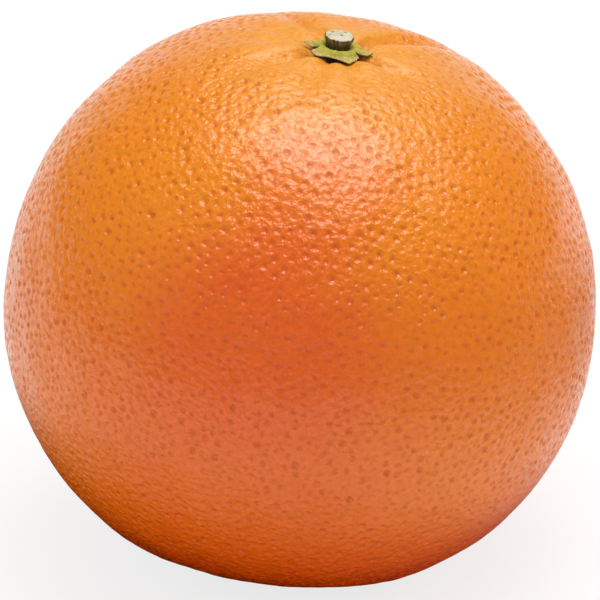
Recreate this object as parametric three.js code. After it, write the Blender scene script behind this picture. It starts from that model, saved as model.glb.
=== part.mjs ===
// A whole ripe orange standing on its blossom end, with its dry calyx and the cut stub of its stalk.
// Millimetres, +Z up. The origin is on the surface that the fruit rests on, under its middle, and the
// front of the fruit faces -Y. The stalk axis leans a little towards +X.
//
// The peel is one closed solid. Its oil pores are scattered over the sphere of directions round the
// fruit's middle, each with a ring of points on its rim. The convex hull of all those directions gives
// the triangles, and every point is then moved out to the peel, a pore's own point a little less far.
// These pores are larger than life: a real peel has about ten times as many.

import * as THREE from 'three';
import { ConvexHull } from 'three/addons/math/ConvexHull.js';

// ---- Fruit ----
const GIRTH_RADIUS = 40; // half the fruit's width
const STEM_END_HEIGHT = 39.8; // from the middle to the shoulder at the stalk, before the dimple
const BLOSSOM_END_HEIGHT = 35.7; // from the middle to the rounded blossom end
const STEM_END_FULLNESS = 2.11; // superellipse power: 2 is an ellipse, more is squarer
const BLOSSOM_END_FULLNESS = 2.24;
const AXIS_LEAN = 7.4; // degrees from upright, towards +X
const MIDDLE_HEIGHT = 35; // of the fruit's middle over the surface, which leaves a small flat spot
const DIMPLE = [
  { depth: 1.1, spread: 10 }, // the broad hollow of the stem end
  { depth: 0.7, spread: 4 }, // the small pit that the calyx sits in
];

// ---- Pleats that run out from the calyx: degrees round the stalk axis from +X, depth and length ----
const PLEATS = [
  { azimuth: 25, depth: 1.1, reach: 26 },
  { azimuth: 62, depth: 0.6, reach: 18 },
  { azimuth: 98, depth: 0.7, reach: 20 },
  { azimuth: 136, depth: 0.8, reach: 22 },
  { azimuth: 156, depth: 0.5, reach: 18 },
  { azimuth: 208, depth: 1, reach: 24 },
  { azimuth: 254, depth: 0.7, reach: 20 },
  { azimuth: 285, depth: 0.7, reach: 20 },
  { azimuth: 315, depth: 0.5, reach: 16 },
  { azimuth: 350, depth: 0.6, reach: 18 },
];
const PLEAT_HALF_WIDTH = 0.9; // at the stalk axis
const PLEAT_WIDENING = 0.07; // gain of that half width for each millimetre outwards
const PLEAT_START = 2.5; // distance from the stalk axis where a pleat begins
const PLEAT_FULL = 6; // and where it is at its full depth
const PLEAT_FADE = 0.35; // share of its reach where a pleat starts to run out

// ---- Slow swellings and hollows of the flesh: where they lie from the middle, degrees, and rise ----
const SWELLINGS = [
  { azimuth: 35, altitude: 48, spread: 13, rise: 0.35 }, // right shoulder
  { azimuth: 18, altitude: 31, spread: 12, rise: -0.17 },
  { azimuth: 355, altitude: -9, spread: 14, rise: 0.13 }, // right flank
  { azimuth: 339, altitude: -35, spread: 14, rise: -0.1 },
  { azimuth: 312, altitude: -56, spread: 12, rise: 0.38 }, // right haunch
  { azimuth: 257, altitude: -62, spread: 13, rise: -0.55 }, // hollow beside the blossom end
  { azimuth: 214, altitude: -48, spread: 12, rise: 0.6 }, // left haunch
  { azimuth: 192, altitude: -23, spread: 13, rise: -0.27 },
  { azimuth: 177, altitude: 5, spread: 13, rise: 0.2 }, // left flank
  { azimuth: 159, altitude: 35, spread: 14, rise: -0.1 },
  { azimuth: 132, altitude: 56, spread: 13, rise: 0.23 }, // rear left shoulder
  { azimuth: 78, altitude: 62, spread: 14, rise: -0.15 },
  { azimuth: 95, altitude: 5, spread: 20, rise: 0.2 }, // rear flank
  { azimuth: 55, altitude: -32, spread: 18, rise: -0.2 },
];

// ---- Pores ----
const PORE_COUNT = 880;
const PORE_RADIUS = 1;
const PORE_DEPTH = 0.74;
const PORE_STRAY = 0.25; // largest stray of a pore's depth and radius, as a share of them
const RIM_POINTS = 5;
const LAND_SAG = 0.08; // how far the land between the pores sinks in places
const PORE_CROWDING = 0.45; // 0 spreads the pores evenly, more draws them to the stem end
const PORE_SCATTER = 0.5; // largest random shift of a pore, as a share of their mean spacing
const RELAX_ROUNDS = 2; // rounds that move each pore to the middle of its cell
const PORELESS_RADIUS = 4; // the peel is smooth round the calyx, this far from the stalk axis
const PORED_RADIUS = 9; // and fully pored from here on
const PORELESS_HEIGHT = 0.1; // no pores on the flat spot
const PORED_HEIGHT = 0.9;
const SEED = 20261;

// ---- Calyx: five sepals joined in a star, with a collar round the stalk ----
const SEPALS = [
  { azimuth: 0, length: 4.7, halfWidth: 28 },
  { azimuth: 78, length: 4.5, halfWidth: 34 },
  { azimuth: 166, length: 4.8, halfWidth: 28 },
  { azimuth: 228, length: 4.3, halfWidth: 40 },
  { azimuth: 290, length: 4.5, halfWidth: 34 },
];
const SEPAL_POINT = 1.4; // power of a sepal's outline: 1 is a straight-sided point
const CALYX_WAIST = 3.25; // radius in the notches between sepals
const CALYX_THICKNESS = 0.5; // of the disc, at its middle
const CALYX_EDGE = 0.3; // thickness at the rim
const COLLAR_RADIUS = 2.7; // of the collar's round crest
const COLLAR_HEIGHT = 0.4; // of that crest over the disc
const COLLAR_SPREAD = 0.45;
const CALYX_SIDES = 50;
const CALYX_UNDERSIDE_RINGS = 3;
const CALYX_TOP_RINGS = 10;

// ---- Stalk stub ----
const STALK_RADIUS = 2;
const STALK_WAIST = 0.93; // width just over the calyx, as a share of the width at the cut
const STALK_LENGTH = 1.3;
const STALK_RIBS = 9;
const RIB_HEIGHT = 0.09;
const CUT_BEVEL = 0.12;
const CUT_CROWN = 0.1; // rise of the cut face's middle over its edge
const STALK_SIDES = 45;

const SEAT_GAP = 0.3; // clearance between pieces that touch in the real fruit

// ---- Finishes ----
const PEEL = { color: 0xe0782a, roughness: 0.42, metalness: 0 };
const CALYX_SKIN = { color: 0x9aa03a, roughness: 0.75, metalness: 0 };
const STALK_WOOD = { color: 0xc9c19a, roughness: 0.8, metalness: 0 };

const radians = THREE.MathUtils.degToRad;
const smoothstep = THREE.MathUtils.smoothstep;
const UP = new THREE.Vector3(0, 0, 1);
const LEAN_HINGE = new THREE.Vector3(0, 1, 0);

/** A bell curve of height 1. */
function bell(distance, spread) {
  return Math.exp(-((distance / spread) ** 2));
}

/** A repeatable source of numbers from 0 to 1. */
function seededRandom(seed) {
  let state = seed;
  return () => {
    state = (state + 0x6d2b79f5) | 0;
    let mixed = Math.imul(state ^ (state >>> 15), 1 | state);
    mixed = (mixed + Math.imul(mixed ^ (mixed >>> 7), 61 | mixed)) ^ mixed;
    return ((mixed ^ (mixed >>> 14)) >>> 0) / 2 ** 32;
  };
}

/** Unit vector at an azimuth round +Z and an altitude over the horizon, in degrees. */
function direction(azimuth, altitude) {
  const level = Math.cos(radians(altitude));
  const turn = radians(azimuth);
  return new THREE.Vector3(level * Math.cos(turn), level * Math.sin(turn), Math.sin(radians(altitude)));
}

const swellings = SWELLINGS.map(({ azimuth, altitude, spread, rise }) => (
  { towards: direction(azimuth, altitude), spread: radians(spread), rise }
));

/** Depth of the stem end's hollow at a distance from the stalk axis. */
function dimpleDepth(distance) {
  return DIMPLE.reduce((sum, { depth, spread }) => sum + depth * bell(distance, spread), 0);
}

/** Radius of the plain round body in a direction whose angle to the stalk axis has this cosine. */
function bodyRadius(cosine) {
  const sine = Math.sqrt(Math.max(0, 1 - cosine ** 2));
  const power = cosine > 0 ? STEM_END_FULLNESS : BLOSSOM_END_FULLNESS;
  const height = cosine > 0 ? STEM_END_HEIGHT : BLOSSOM_END_HEIGHT;
  return ((sine / GIRTH_RADIUS) ** power + (Math.abs(cosine) / height) ** power) ** (-1 / power);
}

/** Depth of the pleats at a distance from the stalk axis and an azimuth round it, in radians. */
function pleatDepth(distance, azimuth) {
  const halfWidth = PLEAT_HALF_WIDTH + PLEAT_WIDENING * distance;
  const start = smoothstep(distance, PLEAT_START, PLEAT_FULL);
  return PLEATS.reduce((sum, pleat) => {
    const turn = azimuth - radians(pleat.azimuth);
    const ahead = Math.cos(turn) > 0 ? 1 : 0;
    const end = 1 - smoothstep(distance, PLEAT_FADE * pleat.reach, pleat.reach);
    return sum + ahead * pleat.depth * start * end * bell(distance * Math.sin(turn), halfWidth);
  }, 0);
}

/** The peel in a direction from the fruit's middle: its radius, and its distance from the stalk axis. */
function peelAt(towards) {
  const fromStalk = towards.clone().applyAxisAngle(LEAN_HINGE, -radians(AXIS_LEAN));
  const body = bodyRadius(fromStalk.z);
  const distance = body * Math.hypot(fromStalk.x, fromStalk.y);
  const azimuth = Math.atan2(fromStalk.y, fromStalk.x);
  const stemSide = fromStalk.z > 0 ? 1 : 0;
  const sunk = stemSide * (dimpleDepth(distance) + pleatDepth(distance, azimuth));
  const swollen = swellings.reduce((sum, { towards: centre, spread, rise }) => (
    sum + rise * bell(centre.angleTo(towards), spread)
  ), 0);
  return { radius: body - sunk + swollen, distance: stemSide ? distance : Infinity };
}

/** Directions of the pores: a golden-angle spiral from the stem end, each one shifted at random. */
function scatterPores(random) {
  const goldenAngle = Math.PI * (3 - Math.sqrt(5));
  const shift = PORE_SCATTER * Math.sqrt((4 * Math.PI) / PORE_COUNT);
  return Array.from({ length: PORE_COUNT }, (_, index) => {
    const share = (index + 0.5) / PORE_COUNT;
    const cosine = 1 - 2 * share * (1 - PORE_CROWDING * (1 - share));
    const polar = Math.acos(cosine);
    const pore = new THREE.Vector3(Math.sin(polar), 0, cosine).applyAxisAngle(UP, index * goldenAngle);
    pore.applyAxisAngle(LEAN_HINGE, radians(AXIS_LEAN));
    const stray = new THREE.Vector3(random() - 0.5, random() - 0.5, random() - 0.5);
    return pore.addScaledVector(stray, 2 * shift).normalize();
  });
}

/** The triangles of the convex hull of some directions, as indices, each seen anticlockwise. */
function hullTriangles(directions) {
  const order = new Map(directions.map((towards, index) => [towards, index]));
  return new ConvexHull().setFromPoints(directions).faces.map((face) => (
    [0, 1, 2].map((side) => order.get(face.getEdge(side).head().point))
  ));
}

/** Moves each pore to the middle of the triangles that it shares with its neighbours. */
function relaxPores(pores) {
  const middles = pores.map(() => new THREE.Vector3());
  hullTriangles(pores).forEach((corners) => {
    const middle = new THREE.Vector3();
    corners.forEach((corner) => middle.add(pores[corner]));
    corners.forEach((corner) => middles[corner].add(middle.normalize()));
  });
  return middles.map((middle) => middle.normalize());
}

/** The points of one pore: its own, sunk to its depth, and those of its rim. */
function porePoints(pore, random) {
  const size = 1 + PORE_STRAY * (2 * random() - 1);
  const across = new THREE.Vector3().crossVectors(pore, LEAN_HINGE);
  across.setLength((size * PORE_RADIUS) / GIRTH_RADIUS);
  const firstTurn = 2 * Math.PI * random();
  const rim = Array.from({ length: RIM_POINTS }, (_, index) => {
    const turn = firstTurn + (2 * Math.PI * index) / RIM_POINTS;
    const towards = across.clone().applyAxisAngle(pore, turn).add(pore);
    return { towards, sunk: LAND_SAG * random() };
  });
  return [{ towards: pore.clone(), sunk: size * PORE_DEPTH }, ...rim];
}

/** The point of the peel in a direction, sunk a little, and pressed flat where the fruit rests. */
function peelPoint(towards, sunk) {
  const { radius, distance } = peelAt(towards);
  const height = MIDDLE_HEIGHT + radius * towards.z;
  const open = smoothstep(distance, PORELESS_RADIUS, PORED_RADIUS);
  const clear = smoothstep(height, PORELESS_HEIGHT, PORED_HEIGHT);
  const point = towards.clone().multiplyScalar(radius - sunk * open * clear);
  if (point.z < -MIDDLE_HEIGHT) point.multiplyScalar(-MIDDLE_HEIGHT / point.z);
  return point;
}

/** A geometry from points and triangles of their indices. */
function indexedGeometry(points, triangles) {
  const geometry = new THREE.BufferGeometry().setFromPoints(points);
  geometry.setIndex(triangles);
  geometry.computeVertexNormals();
  return geometry;
}

/** The pitted peel round the fruit's middle. */
function fruitGeometry() {
  const random = seededRandom(SEED);
  let pores = scatterPores(random);
  for (let round = 0; round < RELAX_ROUNDS; round += 1) pores = relaxPores(pores);
  const points = pores.flatMap((pore) => porePoints(pore, random));
  points.forEach(({ towards }) => towards.normalize());
  const triangles = hullTriangles(points.map(({ towards }) => towards));
  return indexedGeometry(points.map(({ towards, sunk }) => peelPoint(towards, sunk)), triangles.flat());
}

/** Height over the fruit's middle, along the stalk axis, of the peel under the calyx. */
function seatHeight(distance) {
  const angle = Math.atan2(distance, STEM_END_HEIGHT - dimpleDepth(0));
  return (bodyRadius(Math.cos(angle)) - dimpleDepth(distance)) * Math.cos(angle);
}

/** A closed body of rings of points round +Z, which closes in a single point below and above them. */
function ringedGeometry(rings, sides, pointAt) {
  const points = [pointAt(0, 0)];
  for (let ring = 1; ring <= rings; ring += 1) {
    for (let side = 0; side < sides; side += 1) points.push(pointAt(ring, (2 * Math.PI * side) / sides));
  }
  points.push(pointAt(rings + 1, 0));

  const at = (ring, side) => 1 + (ring - 1) * sides + (side % sides);
  const triangles = [];
  for (let side = 0; side < sides; side += 1) {
    triangles.push(0, at(1, side + 1), at(1, side));
    for (let ring = 1; ring < rings; ring += 1) {
      triangles.push(at(ring, side), at(ring, side + 1), at(ring + 1, side + 1));
      triangles.push(at(ring, side), at(ring + 1, side + 1), at(ring + 1, side));
    }
    triangles.push(points.length - 1, at(rings, side), at(rings, side + 1));
  }
  return indexedGeometry(points, triangles);
}

/** A point at a distance from +Z, an angle round it and a height. */
function pointRound(distance, turn, height) {
  return new THREE.Vector3(distance * Math.cos(turn), distance * Math.sin(turn), height);
}

/** Radius of the star's rim at an angle round the stalk. */
function calyxRim(turn) {
  return SEPALS.reduce((sum, { azimuth, length, halfWidth }) => {
    const off = turn - radians(azimuth);
    const away = Math.abs(Math.atan2(Math.sin(off), Math.cos(off)));
    const share = Math.max(0, 1 - away / radians(halfWidth));
    return sum + (length - CALYX_WAIST) * share ** SEPAL_POINT;
  }, CALYX_WAIST);
}

/** The star: its underside follows the dimple outwards, and its top comes back in over the collar. */
function calyxGeometry() {
  const rimRing = CALYX_UNDERSIDE_RINGS;
  return ringedGeometry(rimRing + CALYX_TOP_RINGS, CALYX_SIDES, (ring, turn) => {
    const top = ring > rimRing;
    const share = top ? 1 - (ring - rimRing - 1) / CALYX_TOP_RINGS : ring / rimRing;
    const distance = share * calyxRim(turn);
    const thickness = CALYX_EDGE + (CALYX_THICKNESS - CALYX_EDGE) * (1 - share ** 4);
    const collar = COLLAR_HEIGHT * bell(distance - COLLAR_RADIUS, COLLAR_SPREAD);
    const underside = seatHeight(distance) + SEAT_GAP;
    return pointRound(distance, turn, underside + (top ? thickness + collar : 0));
  });
}

/** The ribbed stub, from its foot over the calyx to the bevelled and slightly crowned cut face. */
function stalkGeometry() {
  const footHeight = seatHeight(STALK_RADIUS) + CALYX_THICKNESS + 2 * SEAT_GAP;
  const profile = [
    { width: 0, height: 0 },
    { width: STALK_WAIST, height: 0 },
    { width: STALK_WAIST, height: 0.3 * STALK_LENGTH },
    { width: 1, height: STALK_LENGTH - 2 * CUT_BEVEL },
    { width: 1, height: STALK_LENGTH - CUT_BEVEL },
    { width: 1 - CUT_BEVEL / STALK_RADIUS, height: STALK_LENGTH },
    { width: 0.5, height: STALK_LENGTH + 0.75 * CUT_CROWN },
    { width: 0, height: STALK_LENGTH + CUT_CROWN },
  ];
  return ringedGeometry(profile.length - 2, STALK_SIDES, (ring, turn) => {
    const { width, height } = profile[ring];
    const rib = RIB_HEIGHT * Math.cos(STALK_RIBS * turn + Math.sin(2 * turn));
    return pointRound(width * (STALK_RADIUS + rib), turn, footHeight + height);
  });
}

/** A named piece in its finish. */
function piece(name, geometry, finish) {
  const mesh = new THREE.Mesh(geometry, new THREE.MeshStandardMaterial(finish));
  mesh.name = name;
  return mesh;
}

/** The fruit with its calyx and stalk, which stand on the leaning stalk axis. */
function orange() {
  const stemEnd = new THREE.Group();
  stemEnd.rotation.y = radians(AXIS_LEAN);
  stemEnd.add(piece('calyx', calyxGeometry(), CALYX_SKIN));
  stemEnd.add(piece('stem', stalkGeometry(), STALK_WOOD));

  const middle = new THREE.Group();
  middle.position.z = MIDDLE_HEIGHT;
  middle.add(piece('fruit', fruitGeometry(), PEEL), stemEnd);

  const whole = new THREE.Group();
  whole.add(middle);
  return whole;
}

export default orange();
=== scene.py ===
"""A whole ripe orange on a pale studio floor: pored peel, green star calyx and cut stalk stub.

Shapes are worked out in millimetres in the row frame (+Z up, the origin under the fruit's middle on
the resting surface, the front towards -Y) and turned into metres when a mesh is made.
"""

import logging
import math
from dataclasses import dataclass, field
from enum import Enum
from typing import Optional, Sequence, Union

import bpy
import numpy as np
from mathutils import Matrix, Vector, geometry


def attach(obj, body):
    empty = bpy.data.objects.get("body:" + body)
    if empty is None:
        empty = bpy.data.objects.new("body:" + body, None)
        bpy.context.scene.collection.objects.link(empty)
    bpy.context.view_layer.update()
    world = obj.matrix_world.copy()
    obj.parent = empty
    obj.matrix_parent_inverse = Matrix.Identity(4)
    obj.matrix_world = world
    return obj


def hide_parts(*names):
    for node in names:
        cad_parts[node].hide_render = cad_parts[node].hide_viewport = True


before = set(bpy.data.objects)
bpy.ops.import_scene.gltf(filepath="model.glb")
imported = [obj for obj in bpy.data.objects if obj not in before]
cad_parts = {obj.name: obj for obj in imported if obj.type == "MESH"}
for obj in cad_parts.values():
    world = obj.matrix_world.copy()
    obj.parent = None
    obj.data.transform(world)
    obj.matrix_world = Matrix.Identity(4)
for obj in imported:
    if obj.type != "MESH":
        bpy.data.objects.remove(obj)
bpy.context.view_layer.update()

LOG = logging.getLogger("orange")
BODY = "root"
MM = 0.001
FAR = 1000.0  # the distance from the stalk that the blossom side is given
NOISE_MEAN = 0.5

Colour = tuple[float, float, float]
Span = tuple[float, float]
Points = np.ndarray
Values = np.ndarray


# ---- Shape helpers --------------------------------------------------------------------------


def bell(distance: Values, spread: float) -> Values:
    """A bell curve of height 1 that falls off over the spread."""
    return np.exp(-((distance / spread) ** 2))


def smoothstep(value: Values, low: float, high: float) -> Values:
    """A smooth rise from 0 at the low value to 1 at the high one."""
    share = np.clip((value - low) / (high - low), 0.0, 1.0)
    return share * share * (3.0 - 2.0 * share)


def normalised(vectors: Points) -> Points:
    """The same vectors at length 1."""
    return vectors / np.linalg.norm(vectors, axis=-1, keepdims=True)


def turned_about_y(vectors: Points, degrees: float) -> Points:
    """Turns vectors about +Y, which carries +Z towards +X.

    Args:
        vectors: The vectors, one row each.
        degrees: How far to turn them.

    Returns:
        The turned vectors.
    """
    cosine, sine = math.cos(math.radians(degrees)), math.sin(math.radians(degrees))
    x, y, z = vectors.T
    return np.stack([cosine * x + sine * z, y, cosine * z - sine * x], axis=1)


def direction(azimuth: float, altitude: float) -> Points:
    """Unit vector at an azimuth round +Z from +X and an altitude over the horizon, in degrees."""
    turn, rise = math.radians(azimuth), math.radians(altitude)
    return np.array([math.cos(rise) * math.cos(turn), math.cos(rise) * math.sin(turn), math.sin(rise)])


def turned_away(turn: Values, azimuth: float) -> Values:
    """How far angles are from an azimuth in degrees, in radians from 0 to pi."""
    off = turn - math.radians(azimuth)
    return np.abs(np.arctan2(np.sin(off), np.cos(off)))


def around_axis(distance: Values, turn: Values, height: Optional[Values] = None) -> Points:
    """Points at distances from an axis and angles round it, with heights along it if there are any."""
    level = [distance * np.cos(turn), distance * np.sin(turn)]
    return np.stack(level if height is None else [*level, height], axis=-1)


def ring_turns(sides: int) -> Values:
    """Angles of the evenly spaced points of a ring, in radians."""
    return np.arange(sides) * math.tau / sides


def golden_turns(index: Values) -> Values:
    """Angles of the points of an even spiral, each a golden angle further round than the last."""
    return index * math.pi * (3.0 - math.sqrt(5.0))


@dataclass(frozen=True)
class Ripple:
    """A smooth random relief of many plane waves: their mean length, the seed and the usual height."""

    wavelength: float
    seed: int
    height: float = 1.0
    waves: int = 28
    shortening: Span = (0.7, 1.3)

    def at(self, points: Points) -> Values:
        """Reads the relief.

        Args:
            points: Where to read it, with the coordinates along the last axis.

        Returns:
            One value a point, with mean 0 and the usual height as standard deviation.
        """
        random = np.random.default_rng(self.seed)
        headings = normalised(random.normal(size=(self.waves, points.shape[-1])))
        steps = headings * (math.tau / self.wavelength) * random.uniform(*self.shortening, (self.waves, 1))
        phases = random.uniform(0.0, math.tau, self.waves)
        total = np.cos(points @ steps.T + phases).sum(axis=-1)
        return self.height * total * math.sqrt(2.0 / self.waves)


@dataclass(frozen=True)
class Stretch:
    """A stretch of an edge round the stalk: its azimuth and half width in degrees, how far it departs."""

    azimuth: float
    half_width: float
    amount: float

    def share(self, turn: Values, widening: float = 1.0) -> Values:
        """How much of the stretch is at angles round the stalk, from 0 far off to 1 in its middle."""
        return bell(turned_away(turn, self.azimuth), math.radians(widening * self.half_width))


def departure(stretches: Sequence[Stretch], turn: Values) -> Values:
    """How far an edge with these stretches departs at angles round the stalk."""
    return sum(stretch.amount * stretch.share(turn) for stretch in stretches)


# ---- Mesh helpers ---------------------------------------------------------------------------


def add_object(name: str, data: bpy.types.ID) -> bpy.types.Object:
    """Adds an object to the scene.

    Args:
        name: Name of the object.
        data: The mesh, light or camera that it shows.

    Returns:
        The object.
    """
    thing = bpy.data.objects.new(name, data)
    bpy.context.scene.collection.objects.link(thing)
    return thing


def make_piece(
    name: str,
    points: Points,
    faces: Sequence[Sequence[int]],
    attributes: Optional[dict[str, Values]] = None,
    normals: Optional[Points] = None,
) -> bpy.types.Object:
    """Makes a smooth-shaded mesh object from points in millimetres.

    Args:
        name: Name of the object.
        points: Vertices, one row each, in the row frame.
        faces: Faces as vertex indices, anticlockwise from outside.
        attributes: Values to store on the vertices for the finish to read.
        normals: Shading normals of the vertices, where they aren't the faces' own.

    Returns:
        The object, linked into the scene.
    """
    mesh = bpy.data.meshes.new(name)
    mesh.from_pydata((points * MM).tolist(), [], [list(map(int, face)) for face in faces])
    mesh.shade_smooth()
    for label, values in (attributes or {}).items():
        layer = mesh.attributes.new(label, "FLOAT", "POINT")
        layer.data.foreach_set("value", np.asarray(values, dtype=np.float32))
    if normals is not None:
        mesh.normals_split_custom_set_from_vertices(normals.tolist())
    return add_object(name, mesh)


def ring_triangles(rings: int, sides: int) -> Points:
    """Faces of a closed body of rings whose first and last vertices are its lower and upper ends.

    Args:
        rings: Number of full rings, from the lower end to the upper one.
        sides: Vertices in each ring.

    Returns:
        Triangles as vertex indices, anticlockwise from outside.
    """
    side = np.arange(sides)
    following = (side + 1) % sides
    lower = np.stack([np.zeros_like(side), 1 + following, 1 + side], axis=1)
    bands = []
    for ring in range(rings - 1):
        here, above = 1 + ring * sides, 1 + (ring + 1) * sides
        bands.append(np.stack([here + side, here + following, above + following], axis=1))
        bands.append(np.stack([here + side, above + following, above + side], axis=1))
    top = 1 + (rings - 1) * sides
    upper = np.stack([np.full_like(side, top + sides), top + side, top + following], axis=1)
    return np.concatenate([lower, *bands, upper])


def in_rings(grid: Values) -> Values:
    """The entries of a grid of rings in a row, with its first and last ring drawn into one entry each."""
    lower, upper = grid[0].mean(axis=0)[None], grid[-1].mean(axis=0)[None]
    return np.concatenate([lower, grid[1:-1].reshape(-1, *grid.shape[2:]), upper])


def face_normals(points: Points, triangles: Points) -> Points:
    """Outward normals of triangles, each as long as twice the triangle's area."""
    first, second, third = (points[triangles[:, corner]] for corner in range(3))
    return np.cross(second - first, third - first)


def vertex_normals(points: Points, triangles: Points) -> Points:
    """Finds the shading normals of a triangle mesh.

    Args:
        points: Its vertices.
        triangles: Its faces as vertex indices.

    Returns:
        Unit normals of the vertices, weighted by the area of the faces that meet there.
    """
    faces = face_normals(points, triangles)
    normals = np.zeros_like(points)
    for corner in range(3):
        np.add.at(normals, triangles[:, corner], faces)
    return normalised(normals)


# ---- The fruit's form, which the peel, the calyx and the stalk share ------------------------


@dataclass(frozen=True)
class Hollow:
    """A round hollow about the stalk axis: its depth and how far it spreads."""

    depth: float
    spread: float


@dataclass(frozen=True)
class Pleat:
    """A crease that runs out from the calyx: its azimuth round the stalk axis, depth, length and width."""

    azimuth: float
    depth: float
    reach: float
    width: float = 1.0


@dataclass(frozen=True)
class Swelling:
    """A slow rise of the flesh: where it lies from the fruit's middle, its spread in degrees, its rise."""

    azimuth: float
    altitude: float
    spread: float
    rise: float

    def lift(self, towards: Points) -> Values:
        """How far the flesh rises in each direction from the fruit's middle."""
        away = np.arccos(np.clip(towards @ direction(self.azimuth, self.altitude), -1.0, 1.0))
        return self.rise * bell(np.degrees(away), self.spread)


@dataclass(frozen=True)
class FruitForm:
    """The pore-less surface of the fruit, as a radius in every direction from its middle."""

    girth_radius: float = 40.0
    stem_end_height: float = 39.8
    blossom_end_height: float = 35.7
    stem_end_fullness: float = 2.11
    blossom_end_fullness: float = 2.24
    axis_lean: float = 7.4
    middle_height: float = 35.0
    dimple: tuple[Hollow, ...] = (Hollow(1.1, 10.0), Hollow(0.7, 4.0))
    pleats: tuple[Pleat, ...] = (
        Pleat(5, 0.45, 15),
        Pleat(41, 1.7, 27, 0.85),
        Pleat(78, 0.6, 18),
        Pleat(117, 1.1, 22, 0.85),
        Pleat(148, 0.6, 18),
        Pleat(172, 0.5, 16),
        Pleat(207, 1.5, 15, 0.8),
        Pleat(212, 0.3, 26, 1.2),
        Pleat(251, 0.8, 18),
        Pleat(288, 0.75, 15),
        Pleat(336, 1.4, 15, 0.8),
        Pleat(330, 0.3, 24, 1.2),
    )
    pleat_half_width: float = 0.9
    pleat_widening: float = 0.07
    pleat_start: Span = (2.0, 4.2)
    pleat_fade: float = 0.35
    well_depth: float = 1.0
    well_reach: float = 3.45
    well_wall: float = 0.9
    well_bays: tuple[Stretch, ...] = (Stretch(252, 8, 0.45), Stretch(330, 9, 0.4))
    cushion_rise: float = 0.36
    cushion_distance: float = 5.9
    cushion_spread: float = 2.2
    swellings: tuple[Swelling, ...] = (
        Swelling(307, 80, 5, 0.28),
        Swelling(35, 48, 13, 0.35),
        Swelling(18, 31, 12, -0.17),
        Swelling(355, -9, 14, 0.13),
        Swelling(339, -35, 14, -0.1),
        Swelling(312, -56, 12, 0.38),
        Swelling(257, -62, 13, -0.55),
        Swelling(214, -48, 12, 0.6),
        Swelling(192, -23, 13, -0.27),
        Swelling(177, 5, 13, 0.2),
        Swelling(159, 35, 14, -0.1),
        Swelling(132, 56, 13, 0.23),
        Swelling(78, 62, 14, -0.15),
        Swelling(95, 5, 20, 0.2),
        Swelling(55, -32, 18, -0.2),
    )

    @property
    def middle(self) -> Points:
        """The fruit's middle in the row frame."""
        return np.array([0.0, 0.0, self.middle_height])

    def body_radius(self, cosine: Values) -> Values:
        """Radius of the plain round body.

        Args:
            cosine: Cosines of the angles from the stalk axis to read it at.

        Returns:
            Distances from the fruit's middle.
        """
        sine = np.sqrt(np.clip(1.0 - cosine**2, 0.0, 1.0))
        power = np.where(cosine > 0, self.stem_end_fullness, self.blossom_end_fullness)
        height = np.where(cosine > 0, self.stem_end_height, self.blossom_end_height)
        return ((sine / self.girth_radius) ** power + (np.abs(cosine) / height) ** power) ** (-1.0 / power)

    def dimple_depth(self, distance: Values) -> Values:
        """Depth of the stem end's hollow at a distance from the stalk axis."""
        return sum(hollow.depth * bell(distance, hollow.spread) for hollow in self.dimple)

    def pleat_depth(self, distance: Values, azimuth: Values) -> Values:
        """Depth of the pleats.

        Args:
            distance: How far from the stalk axis.
            azimuth: Where round it, in radians.

        Returns:
            The depths of all pleats together.
        """
        spread = self.pleat_half_width + self.pleat_widening * distance
        depth = np.zeros_like(distance)
        for pleat in self.pleats:
            turn = azimuth - math.radians(pleat.azimuth)
            end = 1.0 - smoothstep(distance, self.pleat_fade * pleat.reach, pleat.reach)
            groove = bell(distance * np.sin(turn) / spread, pleat.width) * (np.cos(turn) > 0)
            depth = depth + pleat.depth * end * groove
        return depth * smoothstep(distance, *self.pleat_start)

    def well(self, distance: Values, azimuth: Values) -> Values:
        """How deep in the well under the calyx each place is, from 0 on the peel to 1 at the bottom."""
        edge = self.well_reach + departure(self.well_bays, azimuth)
        return 1.0 - smoothstep(distance, edge - self.well_wall, edge)

    def about_stalk(self, towards: Points) -> tuple[Values, Values]:
        """Where directions meet the body, seen along the stalk axis.

        Args:
            towards: Unit vectors from the fruit's middle.

        Returns:
            The distance from the stalk axis, far on the blossom side, and the azimuth round it.
        """
        leaning = turned_about_y(towards, -self.axis_lean)
        distance = self.body_radius(leaning[:, 2]) * np.hypot(leaning[:, 0], leaning[:, 1])
        return np.where(leaning[:, 2] > 0, distance, FAR), np.arctan2(leaning[:, 1], leaning[:, 0])

    def radius(self, towards: Points) -> Values:
        """Distance from the fruit's middle to the surface.

        Args:
            towards: Unit vectors from the fruit's middle.

        Returns:
            One distance a direction.
        """
        distance, azimuth = self.about_stalk(towards)
        radius = self.body_radius(turned_about_y(towards, -self.axis_lean)[:, 2])
        hollow = self.dimple_depth(distance) + self.pleat_depth(distance, azimuth)
        hollow = hollow + self.well_depth * self.well(distance, azimuth)
        cushion = self.cushion_rise * bell(distance - self.cushion_distance, self.cushion_spread)
        return radius - hollow + cushion + sum(swelling.lift(towards) for swelling in self.swellings)

    def seat_height(self, distance: Values) -> Values:
        """Height of the dimple's floor over the fruit's middle, along the stalk axis."""
        angle = np.arctan2(distance, self.stem_end_height - self.dimple_depth(0.0))
        return (self.body_radius(np.cos(angle)) - self.dimple_depth(distance)) * np.cos(angle)

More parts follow.
